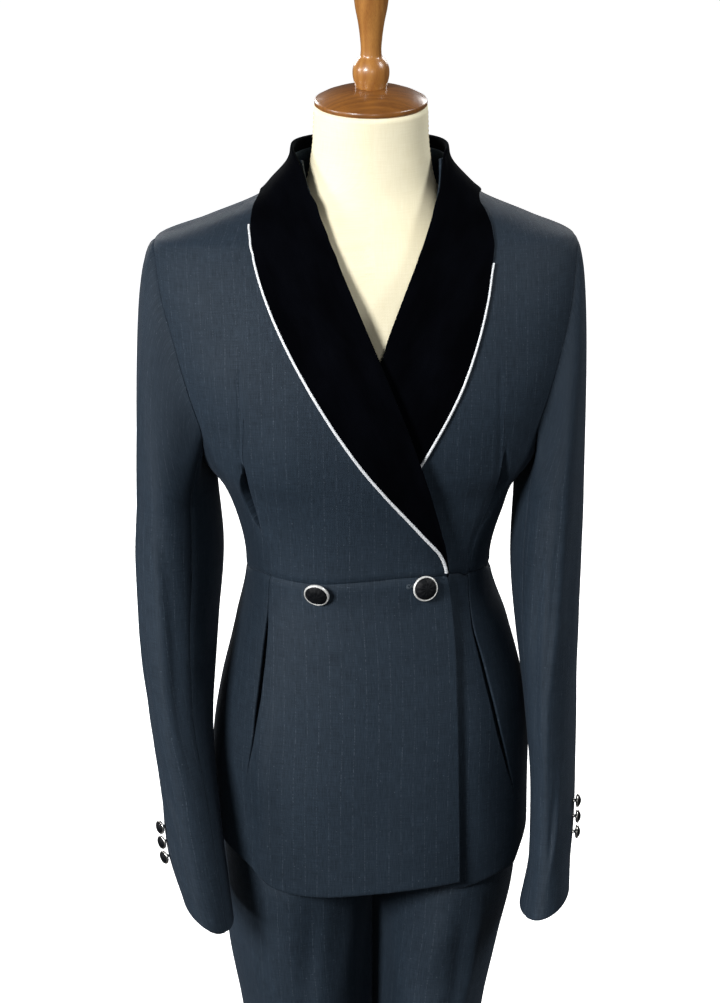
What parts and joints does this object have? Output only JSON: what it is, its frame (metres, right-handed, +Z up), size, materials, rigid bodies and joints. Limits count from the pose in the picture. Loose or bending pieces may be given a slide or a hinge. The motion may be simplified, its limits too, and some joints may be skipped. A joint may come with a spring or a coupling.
{
  "type": "showmanship suit on a dress form",
  "caption": "Fitted wrap-front jacket with velvet shawl collar edged in silver, seamed peplum, and straight trousers, standing on a limbless dress form with a wooden base.",
  "frame": {"origin": "centre of the round base's underside, on the floor", "axes": "+Z up, the front faces -Y, the wearer's right side is -X"},
  "size_m": [0.48, 0.48, 1.6603],
  "materials": {
    "suiting": "black wool suiting with a faint broken pin stripe, low sheen",
    "velvet": "black velvet, soft edge sheen",
    "piping": "silver satin cord",
    "button_cap": "black, faceted",
    "silver": "polished silver-coloured metal",
    "cover": "cream cotton cover, matt",
    "wood": "honey-brown varnish"
  },
  "bodies": {
    "root": {"bodice_front_R": "suiting", "bodice_side_R": "suiting", "bodice_back_R": "suiting", "peplum_front_R": "suiting", "peplum_side_R": "suiting", "peplum_back_R": "suiting", "sleeve_upper_R": "suiting", "sleeve_under_R": "suiting", "trouser_front_R": "suiting", "trouser_back_R": "suiting", "shawl_R": "velvet", "piping_R": "piping", "sleeve_button_R_1": "silver", "sleeve_button_R_2": "silver", "sleeve_button_R_3": "silver", "bodice_front_L": "suiting", "bodice_side_L": "suiting", "bodice_back_L": "suiting", "peplum_front_L": "suiting", "peplum_side_L": "suiting", "peplum_back_L": "suiting", "sleeve_upper_L": "suiting", "sleeve_under_L": "suiting", "trouser_front_L": "suiting", "trouser_back_L": "suiting", "shawl_L": "velvet", "piping_L": "piping", "sleeve_button_L_1": "silver", "sleeve_button_L_2": "silver", "sleeve_button_L_3": "silver", "waistband": "suiting", "button_ring_right": "silver", "button_cap_right": "button_cap", "button_ring_left": "silver", "button_cap_left": "button_cap", "form_torso": "cover", "neck_cap": "wood", "neck_finial": "wood", "stand_pole": "wood", "stand_base": "wood"}
  },
  "joints": []
}
